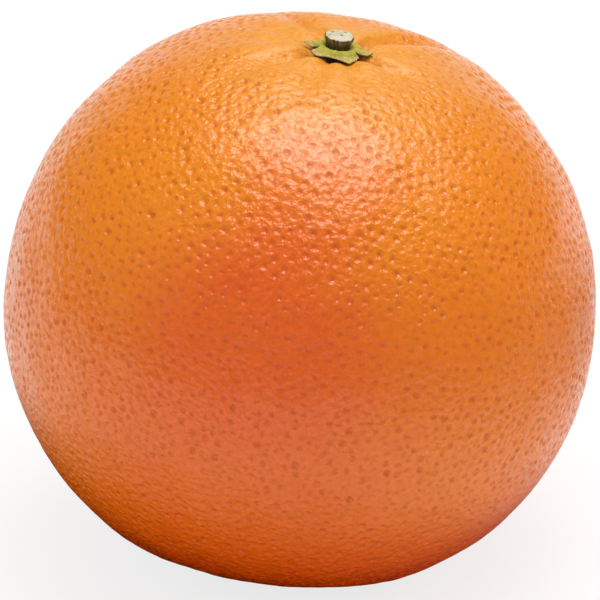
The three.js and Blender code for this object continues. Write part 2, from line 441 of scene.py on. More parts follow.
    def on_stalk(
        self, name: str, distance: Values, turn: Values, height: Values, attributes: dict[str, Values]
    ) -> bpy.types.Object:
        """Makes a closed piece of rings about the leaning stalk axis.

        Args:
            name: Name of the piece.
            distance: How far each point is from the axis, one row a ring, from the lower end up.
            turn: Angles of the points round the axis.
            height: Their heights over the fruit's middle, along the axis.
            attributes: Values of the points for the finish, which may leave out what doesn't change.

        Returns:
            The piece, linked into the scene.
        """
        points = turned_about_y(in_rings(around_axis(distance, turn, height)), self.axis_lean) + self.middle
        values = {
            label: in_rings(1.0 * np.broadcast_to(grid, turn.shape)) for label, grid in attributes.items()
        }
        return make_piece(name, points, ring_triangles(len(turn) - 2, turn.shape[1]), values)


# ---- Shader helpers -------------------------------------------------------------------------


class Operation(Enum):
    """The arithmetic that signals take part in."""

    ADD = "ADD"
    SUBTRACT = "SUBTRACT"
    MULTIPLY = "MULTIPLY"


class Signal:
    """The output of a shader node, with arithmetic that adds the nodes it needs."""

    def __init__(self, shop: "NodeShop", socket: bpy.types.NodeSocket) -> None:
        """Wraps an output socket of the shop's tree."""
        self.shop = shop
        self.socket = socket

    def __add__(self, other: "Operand") -> "Signal":
        """This signal plus the other."""
        return self.shop.combine(Operation.ADD, self, other)

    def __radd__(self, other: "Operand") -> "Signal":
        """The other plus this signal."""
        return self.shop.combine(Operation.ADD, other, self)

    def __sub__(self, other: "Operand") -> "Signal":
        """This signal minus the other."""
        return self.shop.combine(Operation.SUBTRACT, self, other)

    def __rsub__(self, other: "Operand") -> "Signal":
        """The other minus this signal."""
        return self.shop.combine(Operation.SUBTRACT, other, self)

    def __mul__(self, other: "Operand") -> "Signal":
        """This signal times the other."""
        return self.shop.combine(Operation.MULTIPLY, self, other)

    def __rmul__(self, other: "Operand") -> "Signal":
        """The other times this signal."""
        return self.shop.combine(Operation.MULTIPLY, other, self)

    def rise(self, low: float, high: float) -> "Signal":
        """A smooth rise from 0 where this signal is at the low value to 1 at the high one."""
        inputs = {"Value": self, "From Min": low, "From Max": high}
        return self.shop.node("ShaderNodeMapRange", {"interpolation_type": "SMOOTHSTEP"}, inputs)

    def between(self, start: float, end: float) -> "Signal":
        """What goes evenly from the start to the end as this signal goes from 0 to 1."""
        return start + (end - start) * self


Operand = Union[Signal, float, Colour]


@dataclass(frozen=True)
class Spot:
    """A round spot of the fruit: its place from the middle, its core and spread in degrees, its strength."""

    azimuth: float
    altitude: float
    core: float
    spread: float
    strength: float = 1.0


@dataclass(frozen=True)
class Speckle:
    """A soft noise: the size of its blotches in millimetres, its detail, its depth where it is relief."""

    size: float
    detail: float = 2.0
    depth: float = 1.0


class NodeShop:
    """Builds the node tree of one material or world."""

    def __init__(self, tree: bpy.types.NodeTree) -> None:
        """Empties the tree that the shop builds in."""
        self.tree = tree
        tree.nodes.clear()

    def node(
        self,
        kind: str,
        settings: Optional[dict[str, object]] = None,
        inputs: Optional[dict[Union[str, int], Operand]] = None,
        output: Union[str, int] = 0,
    ) -> Optional[Signal]:
        """Adds a node.

        Args:
            kind: Blender's type name of the node.
            settings: Its properties, set before anything is joined to it.
            inputs: Values or signals of its input sockets, by name or by index.
            output: Name or index of the output to use.

        Returns:
            The chosen output, or None from a node that has no outputs.
        """
        node = self.tree.nodes.new(kind)
        for name, setting in (settings or {}).items():
            setattr(node, name, setting)
        for key, value in (inputs or {}).items():
            self._feed(self._socket(node.inputs, key), value)
        return Signal(self, self._socket(node.outputs, output)) if node.outputs else None

    def combine(self, operation: Operation, left: Operand, right: Operand) -> Signal:
        """Joins two operands by a node that suits what they carry.

        Args:
            operation: What to do with them.
            left: The first operand.
            right: The second operand.

        Returns:
            The result: a colour if either is a colour, else a vector if either is one, else a value.
        """
        kinds = {operand.socket.type for operand in (left, right) if isinstance(operand, Signal)}
        if "RGBA" in kinds:
            settings = {"data_type": "RGBA", "blend_type": operation.value}
            return self.node("ShaderNodeMix", settings, {"Factor": 1.0, "A": left, "B": right}, "Result")
        kind = "ShaderNodeVectorMath" if "VECTOR" in kinds else "ShaderNodeMath"
        return self.node(kind, {"operation": operation.value}, {0: left, 1: right})

    def blend(self, start: Operand, end: Operand, factor: Operand) -> Signal:
        """A colour that goes from the start to the end one as the factor goes from 0 to 1."""
        inputs = {"Factor": factor, "A": start, "B": end}
        return self.node("ShaderNodeMix", {"data_type": "RGBA"}, inputs, "Result")

    def place(self) -> Signal:
        """Where a point of the piece is in the row frame, in millimetres."""
        spot = self.node("ShaderNodeTexCoord", output="Object")
        return self.node("ShaderNodeVectorMath", {"operation": "SCALE"}, {"Vector": spot, "Scale": 1 / MM})

    def part(self, vector: Signal, axis: str) -> Signal:
        """One part of a vector, named by its axis."""
        return self.node("ShaderNodeSeparateXYZ", {}, {0: vector}, axis)

    def stored(self, label: str) -> Signal:
        """The values that the mesh holds under a label."""
        return self.node("ShaderNodeAttribute", {"attribute_name": label}, output="Fac")

    def noise(self, place: Signal, speckle: Speckle) -> Signal:
        """A speckle's noise, from 0 to 1 about the mean, without its depth."""
        inputs = {"Vector": place, "Scale": 1.0 / speckle.size, "Detail": speckle.detail}
        return self.node("ShaderNodeTexNoise", {"noise_dimensions": "3D"}, inputs)

    def facing(self, towards: Signal, spot: Spot) -> Signal:
        """How strongly a spot of the fruit shows.

        Args:
            towards: The unit vector from the fruit's middle.
            spot: The spot.

        Returns:
            The spot's strength in its core, falling smoothly to 0 at its spread.
        """
        inputs = {0: towards, 1: tuple(direction(spot.azimuth, spot.altitude))}
        cosine = self.node("ShaderNodeVectorMath", {"operation": "DOT_PRODUCT"}, inputs, "Value")
        edge, core = math.cos(math.radians(spot.spread)), math.cos(math.radians(spot.core))
        return spot.strength * cosine.rise(edge, core)

    def relief(self, height: Signal, depth: float = 1.0) -> Signal:
        """The normal of a relief whose height of 1 stands for the depth, in millimetres."""
        return self.node("ShaderNodeBump", {}, {"Distance": depth * MM, "Strength": 1.0, "Height": height})

    @staticmethod
    def _socket(sockets: bpy.types.bpy_prop_collection, key: Union[str, int]) -> bpy.types.NodeSocket:
        """The socket at an index, or the enabled one of a name."""
        named = (socket for socket in sockets if socket.name == key and socket.enabled)
        return sockets[key] if isinstance(key, int) else next(named)

    def _feed(self, socket: bpy.types.NodeSocket, value: Operand) -> None:
        """Joins a signal to an input socket, or sets the socket's own value.

        Args:
            socket: The input socket.
            value: The signal, or a number or colour. A number fills all parts of a colour or vector.
        """
        if isinstance(value, Signal):
            self.tree.links.new(value.socket, socket)
        elif socket.type in ("RGBA", "VECTOR"):
            parts = value if isinstance(value, tuple) else (value,) * 3
            socket.default_value = (*parts, 1.0) if socket.type == "RGBA" else parts
        else:
            socket.default_value = value


# ---- Finishes -------------------------------------------------------------------------------


@dataclass(frozen=True)
class Finish:
    """A material made by its own methods from its own sizes and colours."""

    name: str

    def paint(self, shop: NodeShop) -> dict[str, Operand]:
        """The values and signals of the surface's sockets."""
        raise NotImplementedError

    def surface(self, shop: NodeShop) -> Signal:
        """The surface's shader, with the sockets that paint gives."""
        return shop.node("ShaderNodeBsdfPrincipled", {}, self.paint(shop), "BSDF")

    def material(self) -> bpy.types.Material:
        """Makes the material.

        Returns:
            A material of the finish's own surface.
        """
        material = bpy.data.materials.new(self.name)
        material.use_nodes = True
        shop = NodeShop(material.node_tree)
        shop.node("ShaderNodeOutputMaterial", {}, {"Surface": self.surface(shop)})
        return material


@dataclass(frozen=True)
class PeelFinish(Finish):
    """Waxy orange peel: yellower above, redder below and over its blush, with pits tinted darker inwards,
    partly as painted shade, and painted shade towards the bottom and in the well under the calyx.
    """

    name: str = "orange_peel"
    upper: Colour = (0.87, 0.245, 0.003)
    lower: Colour = (0.79, 0.136, 0.004)
    side: Colour = (0.83, 0.189, 0.001)
    blush: Colour = (0.80, 0.108, 0.007)
    stem_end: Colour = (0.81, 0.30, 0.01)
    # The pits' darker red is partly the oil glands' own tint and partly painted shade.
    pore: Colour = (0.76, 0.074, 0.002)
    scar: Colour = (0.20, 0.11, 0.04)
    # Painted shade: the peel in the well under the calyx is darkened to a near-black purple-brown.
    well: Colour = (0.035, 0.006, 0.012)
    # Painted shade: the bottom of the fruit is darker and redder, as in its own shade and bounced orange
    # light.
    under: Colour = (0.74, 0.064, 0.0)
    upper_spot: Spot = Spot(90, 90, 38, 84)
    shaded_under_spot: Spot = Spot(90, -90, 40, 78)
    right_spot: Spot = Spot(332, -8, 10, 60)
    left_spot: Spot = Spot(182, -3, 8, 62)
    blush_spots: tuple[Spot, ...] = (Spot(262, 21, 3, 29), Spot(276, 50, 2, 19, 0.5))
    stem_reach: Span = (5.0, 27.0)
    well_shade_edge: Span = (0.05, 0.6)
    scar_radius: Span = (0.8, 2.0)
    pit_tint_and_shade: float = 2.7
    pore_core: float = 0.25
    patches: Speckle = Speckle(9.0)
    patchiness: float = 0.3
    blush_shares: Span = (0.5, 1.2)
    flecks: Speckle = Speckle(0.9)
    fleck_shades: Span = (0.88, 1.12)
    ragged: Speckle = Speckle(0.6, 1.0)
    raggedness: float = 1.6
    grain: Speckle = Speckle(0.3, 3.0, 0.02)
    lumps: Speckle = Speckle(1.3, 1.0, 0.38)
    crinkles: Speckle = Speckle(0.6, 1.0, 0.19)
    calm_reach: Span = (5.0, 20.0)
    calm_relief: Span = (0.75, 1.0)
    roughness: Span = (0.2, 0.3)
    calm_roughness: float = 0.25
    coat: Span = (0.05, 0.3)
    coat_roughness: float = 0.15
    ior: float = 1.45
    form: FruitForm = field(default_factory=FruitForm)

    def paint(self, shop: NodeShop) -> dict[str, Operand]:
        """The peel's colour and gloss, the walls of its pits and its fine grain.

        Args:
            shop: Builder of the material's nodes.

        Returns:
            Values and signals for the surface's sockets.
        """
        place = shop.place()
        from_middle = place - tuple(self.form.middle)
        towards = shop.node("ShaderNodeVectorMath", {"operation": "NORMALIZE"}, {0: from_middle})
        patches, flecks = shop.noise(place, self.patches), shop.noise(place, self.flecks)
        ragged = self.raggedness * (shop.noise(place, self.ragged) - NOISE_MEAN)
        pit = shop.stored("pit") * (1.0 + ragged)
        bowl, core = pit.rise(0.0, 1.0), pit.rise(self.pore_core, 1.0)
        depth = shop.stored("pit_depth")
        stem_distance = shop.stored("stem_distance")

        skin = shop.blend(self.lower, self.side, shop.facing(towards, self.right_spot))
        skin = shop.blend(skin, self.side, shop.facing(towards, self.left_spot))
        # Painted shade and bounce light: darker, redder peel towards the bottom.
        skin = shop.blend(skin, self.under, shop.facing(towards, self.shaded_under_spot))
        raised = shop.facing(towards, self.upper_spot) + self.patchiness * (patches - NOISE_MEAN)
        skin = shop.blend(skin, self.upper, raised)
        blushing = sum(shop.facing(towards, spot) for spot in self.blush_spots)
        skin = shop.blend(skin, self.blush, blushing * patches.between(*self.blush_shares))
        skin = shop.blend(skin, self.stem_end, 1.0 - stem_distance.rise(*self.stem_reach))
        skin = skin * flecks.between(*self.fleck_shades)
        # Pit colour: the glands' own tint plus painted shade, deepest where the pit is deepest.
        skin = shop.blend(skin, self.pore, core * depth * self.pit_tint_and_shade)
        # Painted shade in the well, where the calyx overhangs the peel.
        skin = shop.blend(skin, self.well, shop.stored("well").rise(*self.well_shade_edge))
        skin = shop.blend(skin, self.scar, 1.0 - shop.stored("foot_distance").rise(*self.scar_radius))

        lively = stem_distance.rise(*self.calm_reach)
        grain, lumps, crinkles = (
            relief.depth * shop.noise(place, relief) for relief in (self.grain, self.lumps, self.crinkles)
        )
        height = grain + (lumps + crinkles) * lively.between(*self.calm_relief) - bowl * depth
        return {
            "Base Color": skin,
            "Roughness": flecks.between(*self.roughness) + self.calm_roughness * (1.0 - lively),
            "IOR": self.ior,
            "Coat Weight": lively.between(*self.coat),
            "Coat Roughness": self.coat_roughness,
            "Normal": shop.relief(height),
        }


@dataclass(frozen=True)
class CalyxFinish(Finish):
    """A drying calyx: yellow-green round the stalk, mottled olive and tan out to a pale dry rim, near black
    at its notches partly as painted shade, and painted shade on its underside.
    """

    name: str = "dry_calyx"
    collar: Colour = (0.50, 0.46, 0.022)
    blade: Colour = (0.44, 0.33, 0.055)
    tan: Colour = (0.66, 0.50, 0.14)
    olive: Colour = (0.22, 0.19, 0.022)
    rim: Colour = (0.60, 0.43, 0.12)
    # Near-black round the notches: partly the calyx's dry edge, partly painted shade where the gap under it
    # shows.
    dry: Colour = (0.075, 0.016, 0.018)
    # Painted shade: the calyx's underside, over the gap above the peel, is near black.
    underside: Colour = (0.05, 0.015, 0.018)
    blotches: Speckle = Speckle(0.8, 3.0)
    specks: Speckle = Speckle(0.16)
    blade_mottling: Span = (0.35, 0.6)
    tan_mottling: Span = (0.35, 0.65)
    collar_shares: Span = (0.6, 1.0)
    rim_shares: Span = (0.3, 1.1)
    notch_raggedness: float = 0.5
    notch_edge: Span = (0.35, 0.8)
    speck_shades: Span = (0.75, 1.25)
    roughness: Span = (0.62, 0.82)
    ior: float = 1.4
    blotch_relief: float = 0.6
    relief_depth: float = 0.05

    def paint(self, shop: NodeShop) -> dict[str, Operand]:
        """The calyx's colour and fibrous relief.

        Args:
            shop: Builder of the material's nodes.

        Returns:
            Values and signals for the surface's sockets.
        """
        place = shop.place()
        blotches, specks = shop.noise(place, self.blotches), shop.noise(place, self.specks)
        skin = shop.blend(self.olive, self.blade, blotches.rise(*self.blade_mottling))
        skin = shop.blend(skin, self.tan, shop.stored("crest") * specks.rise(*self.tan_mottling))
        skin = shop.blend(skin, self.collar, shop.stored("collar") * blotches.between(*self.collar_shares))
        skin = shop.blend(skin, self.rim, shop.stored("rim") * blotches.between(*self.rim_shares))
        notch = shop.stored("notch") + self.notch_raggedness * (specks - NOISE_MEAN)
        # Darkens the rim round the notches between sepals, partly as painted shade.
        skin = shop.blend(skin, self.dry, notch.rise(*self.notch_edge))
        # Painted shade on the underside of the calyx.
        skin = shop.blend(skin, self.underside, shop.stored("underside"))
        return {
            "Base Color": skin * specks.between(*self.speck_shades),
            "Roughness": specks.between(*self.roughness),
            "IOR": self.ior,
            "Normal": shop.relief(specks + self.blotch_relief * blotches, self.relief_depth),
        }


@dataclass(frozen=True)
class StalkFinish(Finish):
    """A cut stalk: ribbed olive-brown bark round a pale dry cut face with rings and dark vessels; the bark's
    paler crests fade towards its base as painted shade.
    """

    name: str = "cut_stalk"
    bark: Colour = (0.075, 0.052, 0.014)
    bark_crest: Colour = (0.24, 0.17, 0.06)
    wood: Colour = (0.68, 0.61, 0.44)
    green_wood: Colour = (0.5, 0.47, 0.3)
    vessel: Colour = (0.16, 0.12, 0.07)
    specks: Speckle = Speckle(0.22, 3.0)
    blotches: Speckle = Speckle(0.88)
    greening: Span = (0.5, 0.68)
    speck_shades: Span = (0.72, 1.22)
    roughness: float = 0.8
    ior: float = 1.4
    relief_depth: float = 0.06

    def paint(self, shop: NodeShop) -> dict[str, Operand]:
        """The stalk's colour and roughened relief.

        Args:
            shop: Builder of the material's nodes.

        Returns:
            Values and signals for the surface's sockets.
        """
        place = shop.place()
        specks, blotches = shop.noise(place, self.specks), shop.noise(place, self.blotches)
        # The paler rib crests are the bark's own tone; their mask also fades them towards the stub's base as
        # painted shade.
        bark = shop.blend(self.bark, self.bark_crest, shop.stored("rib_tone_and_shade"))
        wood = shop.blend(self.wood, self.green_wood, blotches.rise(*self.greening))
        wood = shop.blend(wood, self.vessel, shop.stored("vessel"))
        skin = shop.blend(bark, wood, shop.stored("cut"))
        return {
            "Base Color": skin * specks.between(*self.speck_shades),
            "Roughness": self.roughness,
            "IOR": self.ior,
            "Normal": shop.relief(specks, self.relief_depth),
        }


@dataclass(frozen=True)
class FloorFinish(Finish):
    """A pale floor that looks nearly white, with a painted shadow close under the fruit that only the light
    thrown back sees, and painted shade in its reflections.
    """

    name: str = "pale_floor"
    seen: Colour = (0.22, 0.22, 0.22)
    glow: Colour = (1.0, 1.0, 1.0)
    seen_glow: float = 0.78
    roughness: float = 0.9
    # Painted shadow: the floor is near black close under the fruit, for the light thrown back only.
    near: Colour = (0.02, 0.015, 0.01)
    far: Colour = (0.93, 0.93, 0.93)
    painted_shadow_middle: tuple[float, float, float] = (-16.0, -7.0, 0.0)
    painted_shadow_reach: Span = (28.0, 36.0)
    # Painted shade in reflections: glossy rays see the floor dimmed except in a ring round the fruit and
    # behind it.
    ring_start: Span = (35.0, 75.0)
    ring_end: Span = (160.0, 320.0)
    behind: Span = (60.0, 140.0)
    shaded_side: Span = (45.0, 115.0)
    shade: float = 0.8
    dimming: float = 0.92

    def surface(self, shop: NodeShop) -> Signal:
        """The surface's shader, of one surface for the eye and one for the light that is thrown back.

        Args:
            shop: Builder of the material's nodes.

        Returns:
            The shader.
        """
        place = shop.place()
        inputs = {0: place - self.painted_shadow_middle}
        away = shop.node("ShaderNodeVectorMath", {"operation": "LENGTH"}, inputs, "Value")
        mirrored = shop.node("ShaderNodeLightPath", output="Is Glossy Ray")
        behind = shop.part(place, "Y").rise(*self.behind)
        beside = self.shade * shop.part(place, "X").rise(*self.shaded_side)
        ring = away.rise(*self.ring_start) * (1.0 - away.rise(*self.ring_end)) * (1.0 - beside)
        # Painted shade: the floor as reflections see it, dimmed except behind and in the ring, which is
        # darker on the right as painted shadow.
        dimmed = self.dimming * (mirrored * (1.0 - behind) * (1.0 - ring))
        # Painted shadow close under the fruit, offset to the left front.
        bounce = shop.blend(self.near, self.far, away.rise(*self.painted_shadow_reach)) * (1.0 - dimmed)
        matt = {"Roughness": self.roughness, "Specular IOR Level": 0.0}
        lit = shop.node("ShaderNodeBsdfPrincipled", {}, {"Base Color": bounce, **matt}, "BSDF")
        glow = {"Emission Color": self.glow, "Emission Strength": self.seen_glow}
        seen = shop.node("ShaderNodeBsdfPrincipled", {}, {"Base Color": self.seen, **matt, **glow}, "BSDF")
        by_eye = shop.node("ShaderNodeLightPath", output="Is Camera Ray")
        return shop.node("ShaderNodeMixShader", {}, {"Fac": by_eye, 1: lit, 2: seen})


# ---- The peel -------------------------------------------------------------------------------


ASIDE = np.array([0.13, 0.97, 0.21])  # any direction that no pore lies along


def tangents(axis: Points) -> tuple[Points, Points]:
    """Two unit vectors square to each unit axis and to each other."""
    across = normalised(np.cross(axis, ASIDE))
    return across, np.cross(axis, across)


def square_to(axis: Points, turn: Values) -> Points:
    """Unit vectors square to each unit axis, at angles round it."""
    across, along = tangents(axis)
    return np.cos(turn)[..., None] * across[..., None, :] + np.sin(turn)[..., None] * along[..., None, :]


def sphere_triangles(towards: Points, bare: Points) -> Points:
    """Joins directions on the unit sphere by Delaunay triangles.

    The sphere is laid flat by a stereographic projection from a bare direction, which has none of the
    directions near it and is ringed by the nearest ones.

    Args:
        towards: Unit vectors to join, one row each.
        bare: The unit vector to project from.

    Returns:
        Triangles as row indices, anticlockwise from outside.
    """
    inside_hull, same_place = 0, 1e-9
    across, along = tangents(bare)
    flat = np.stack([towards @ across, towards @ along], axis=1) / (1.0 - towards @ bare)[:, None]
    spots = [Vector(spot) for spot in flat]
    triangles = np.array(geometry.delaunay_2d_cdt(spots, [], [], inside_hull, same_place, False)[2])
    outward = np.einsum("ij,ij->i", face_normals(towards, triangles), towards[triangles[:, 0]]) > 0
    return np.where(outward[:, None], triangles, triangles[:, ::-1])


@dataclass(frozen=True)
class PoreField:
    """The oil pores of the peel, spread over the directions from the fruit's middle.

    The foot is the unit vector from there to the middle of the flat spot.
    """

    form: FruitForm
    foot: Points
    count: int = 10300
    crowding: float = 0.3
    scatter: float = 0.45
    relax_rounds: int = 3
    sides: int = 8
    deep_share: float = 0.55
    deep: Span = (0.8, 1.15)
    shallow: Span = (0.4, 0.75)
    reach: float = 0.46
    reach_power: float = 0.3
    widest: float = 0.49
    slope: float = 0.3
    calm_radius: float = 5.6
    calm_spacing: float = 0.3
    foot_radius: float = 3.0
    foot_clearance: float = 1.2
    foot_points: int = 72
    seed: int = 41

    def spread_out(self) -> Points:
        """Directions of the pores: a golden-angle spiral, denser downwards, stirred and then evened out.

        Returns:
            Unit vectors, one row each, clear of the calyx and of the foot.
        """
        random = np.random.default_rng(self.seed)
        share = (np.arange(self.count) + 0.5) / self.count
        cosine = 1.0 - 2.0 * share * (1.0 + self.crowding * (1.0 - share))
        pores = around_axis(np.sqrt(1.0 - cosine**2), golden_turns(np.arange(self.count)), cosine)
        shift = self.scatter * math.sqrt(4.0 * math.pi / self.count)
        pores = normalised(pores + random.uniform(-shift, shift, pores.shape))
        pores = turned_about_y(pores, self.form.axis_lean)
        pores = pores[self.form.about_stalk(pores)[0] > self.calm_radius]
        from_foot = self.form.girth_radius * np.arccos(np.clip(pores @ self.foot, -1, 1))
        pores = pores[from_foot > self.foot_clearance * self.foot_radius]
        fixed = self.fixed_spots()
        for _ in range(self.relax_rounds):
            pores = self._evened(pores, fixed)
        return pores

    def fixed_spots(self) -> Points:
        """Directions that hold no pore: the ring round the middle of the foot, then the calm stem end."""
        return np.concatenate([self._foot_ring(), self._calm_spots()])

    def openness(self, count: int) -> Values:
        """How open the pores are: some gape, and more of them are nearly closed.

        Args:
            count: How many pores there are.

        Returns:
            One value a pore, from 0 up.
        """
        random = np.random.default_rng(self.seed + 1)
        gaping = random.random(count) < self.deep_share
        return np.where(gaping, random.uniform(*self.deep, count), random.uniform(*self.shallow, count))

    def reaches(self, pores: Points, openness: Values) -> Values:
        """Radii of the pores' pits.

        Args:
            pores: Directions of the pores.
            openness: How open each pore is.

        Returns:
            Radii that suit the room round each pore and leave land between it and the nearest one.
        """
        everything = np.concatenate([pores, self.fixed_spots()])
        triangles = sphere_triangles(everything, self.foot)
        nearest = np.full(len(everything), np.inf)
        total, shared = np.zeros(len(everything)), np.zeros(len(everything))
        for corner in range(3):
            here, there = triangles[:, corner], triangles[:, (corner + 1) % 3]
            gap = self.form.girth_radius * np.linalg.norm(everything[here] - everything[there], axis=1)
            for end in (here, there):
                np.minimum.at(nearest, end, gap)
                np.add.at(total, end, gap)
                np.add.at(shared, end, 1.0)
        usual, nearest = (total / shared)[: len(pores)], nearest[: len(pores)]
        return np.minimum(self.reach * usual * openness**self.reach_power, self.widest * nearest)

    def rims(self, pores: Points, reaches: Values) -> Points:
        """Directions of the points that ring each pore where its pit starts.

        Args:
            pores: Directions of the pores.
            reaches: Radii of their pits.

        Returns:
            Unit vectors, one row each, pore by pore.
        """
        random = np.random.default_rng(self.seed + 2)
        step = math.tau / self.sides
        turn = random.uniform(0.0, step, (len(pores), 1)) + step * np.arange(self.sides)
        reach = (reaches / self.form.girth_radius)[:, None, None]
        return normalised(pores[:, None] + reach * square_to(pores, turn)).reshape(-1, 3)

    def _foot_ring(self) -> Points:
        """Directions of the ring of points round the middle of the flat spot."""
        angle, turn = self.foot_radius / self.form.girth_radius, ring_turns(self.foot_points)
        return math.cos(angle) * self.foot + math.sin(angle) * square_to(self.foot, turn)

    def _calm_spots(self) -> Points:
        """Directions of the close points that carry the smooth peel round the calyx.

        Returns:
            Unit vectors, one row each.
        """
        count = int(math.pi * self.calm_radius**2 / self.calm_spacing**2)
        index = np.arange(count) + 0.5
        distance = self.calm_radius * np.sqrt(index / count)
        height = np.full(count, self.form.seat_height(0.0))
        spots = around_axis(distance, golden_turns(index), height)
        return turned_about_y(normalised(spots), self.form.axis_lean)

    def _evened(self, pores: Points, fixed: Points) -> Points:
        """Moves each pore to the middle of the triangles that it shares with its neighbours.

        Args:
            pores: Directions of the pores.
            fixed: Directions that stay where they are.

        Returns:
            The new directions of the pores.
        """
        everything = np.concatenate([pores, fixed])
        triangles = sphere_triangles(everything, self.foot)
        middles = normalised(everything[triangles].mean(axis=1))
        sums = np.zeros_like(everything)
        for corner in range(3):
            np.add.at(sums, triangles[:, corner], middles)
        return normalised(sums[: len(pores)])


@dataclass(frozen=True)
class Peel:
    """The whole skin of the fruit, pored all over and pressed flat where the fruit stands."""

    form: FruitForm = field(default_factory=FruitForm)
    finish: PeelFinish = field(default_factory=PeelFinish)
    foot_middle: Span = (3.5, 0.0)
    pore_fade: Span = (6.0, 15.0)
    foot_fade: Span = (0.1, 0.9)
    sunk: float = 0.02
    ripples: tuple[Ripple, ...] = (Ripple(2.4, 0, 0.012), Ripple(9.0, 1, 0.05))
    wrinkle_count: int = 46
    wrinkle_depth: float = 0.03
    wrinkle_seed: int = 7
    wrinkle_drift: float = 0.02
    wrinkle_start: Span = (2.0, 5.0)
    wrinkle_end: Span = (6.0, 15.0)

    def build(self) -> bpy.types.Object:
        """Makes and dresses the peel.

        Returns:
            The peel's object.
        """
        foot = normalised(np.array([*self.foot_middle, -self.form.middle_height]))
        pore_field = PoreField(self.form, foot)
        pores = pore_field.spread_out()
        openness = pore_field.openness(len(pores))
        reaches = pore_field.reaches(pores, openness)
        rims = pore_field.rims(pores, reaches)
        towards = np.concatenate([pores, rims, pore_field.fixed_spots()])
        triangles = sphere_triangles(towards, foot)

        depths = pore_field.slope * reaches * openness * self._clear_of_pores(pores)
        others = np.zeros(len(towards) - len(pores) - len(rims))
        pit = np.concatenate([np.ones(len(pores)), np.zeros(len(rims)), others])
        pit_depth = np.concatenate([depths, np.repeat(depths, pore_field.sides), others])
        land = self._land_radius(towards)
        normals = vertex_normals(self._pressed(towards * land[:, None]), triangles)
        points = self._pressed(towards * (land - pit * pit_depth)[:, None])

        ring = len(pores) + len(rims) + np.arange(pore_field.foot_points)
        fan = np.stack([np.full_like(ring, len(points)), ring, np.roll(ring, -1)], axis=1)
        points = np.concatenate([points, points[ring].mean(axis=0)[None]]) + self.form.middle
        distance, azimuth = self.form.about_stalk(towards)
        attributes = {
            "pit": np.append(pit, 0.0),
            "pit_depth": np.append(pit_depth, 0.0),
            "stem_distance": np.append(distance, FAR),
            # how deep in the well each place is, which the finish darkens as painted shade
            "well": np.append(self.form.well(distance, azimuth), 0.0),
            "foot_distance": np.linalg.norm(points - points[-1], axis=1),
        }
        normals = np.concatenate([normals, [[0.0, 0.0, -1.0]]])
        piece = make_piece("peel", points, np.concatenate([triangles, fan]), attributes, normals)
        piece.data.materials.append(self.finish.material())
        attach(piece, BODY)
        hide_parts("fruit")
        return piece

    def _clear_of_pores(self, towards: Points) -> Values:
        """How far pores are open: less and less towards the calyx and the foot.

        Args:
            towards: Unit vectors from the fruit's middle to the pores.

        Returns:
            One value a pore, from 0 to 1.
        """
        height = self.form.middle_height + self.form.radius(towards) * towards[:, 2]
        from_stalk = smoothstep(self.form.about_stalk(towards)[0], *self.pore_fade)
        return from_stalk * smoothstep(height, *self.foot_fade)

    def _land_radius(self, towards: Points) -> Values:
        """Distance from the fruit's middle to the land between the pores, which ripples a little.

        Args:
            towards: Unit vectors from the fruit's middle.

        Returns:
            One distance a direction.
        """
        distance, azimuth = self.form.about_stalk(towards)
        near = smoothstep(distance, *self.wrinkle_start) * (1.0 - smoothstep(distance, *self.wrinkle_end))
        wrinkles = Ripple(math.tau / self.wrinkle_count, self.wrinkle_seed, self.wrinkle_depth)
        wrinkled = near * wrinkles.at(around_axis(1.0, azimuth, self.wrinkle_drift * distance))
        swells = sum(ripple.at(self.form.girth_radius * towards) for ripple in self.ripples)
        return self.form.radius(towards) + wrinkled + swells - self.sunk

    def _pressed(self, points: Points) -> Points:
        """Points from the fruit's middle, pulled up to the resting surface where they lie below it."""
        floor = -self.form.middle_height
        return points * np.where(points[:, 2] < floor, floor / points[:, 2], 1.0)[:, None]


# ---- The calyx and the stalk, made about the stalk axis -------------------------------------


@dataclass(frozen=True)
class Sepal:
    """One lobe of the calyx: where it points, and how long and wide it is."""

    azimuth: float
    length: float
    half_width: float


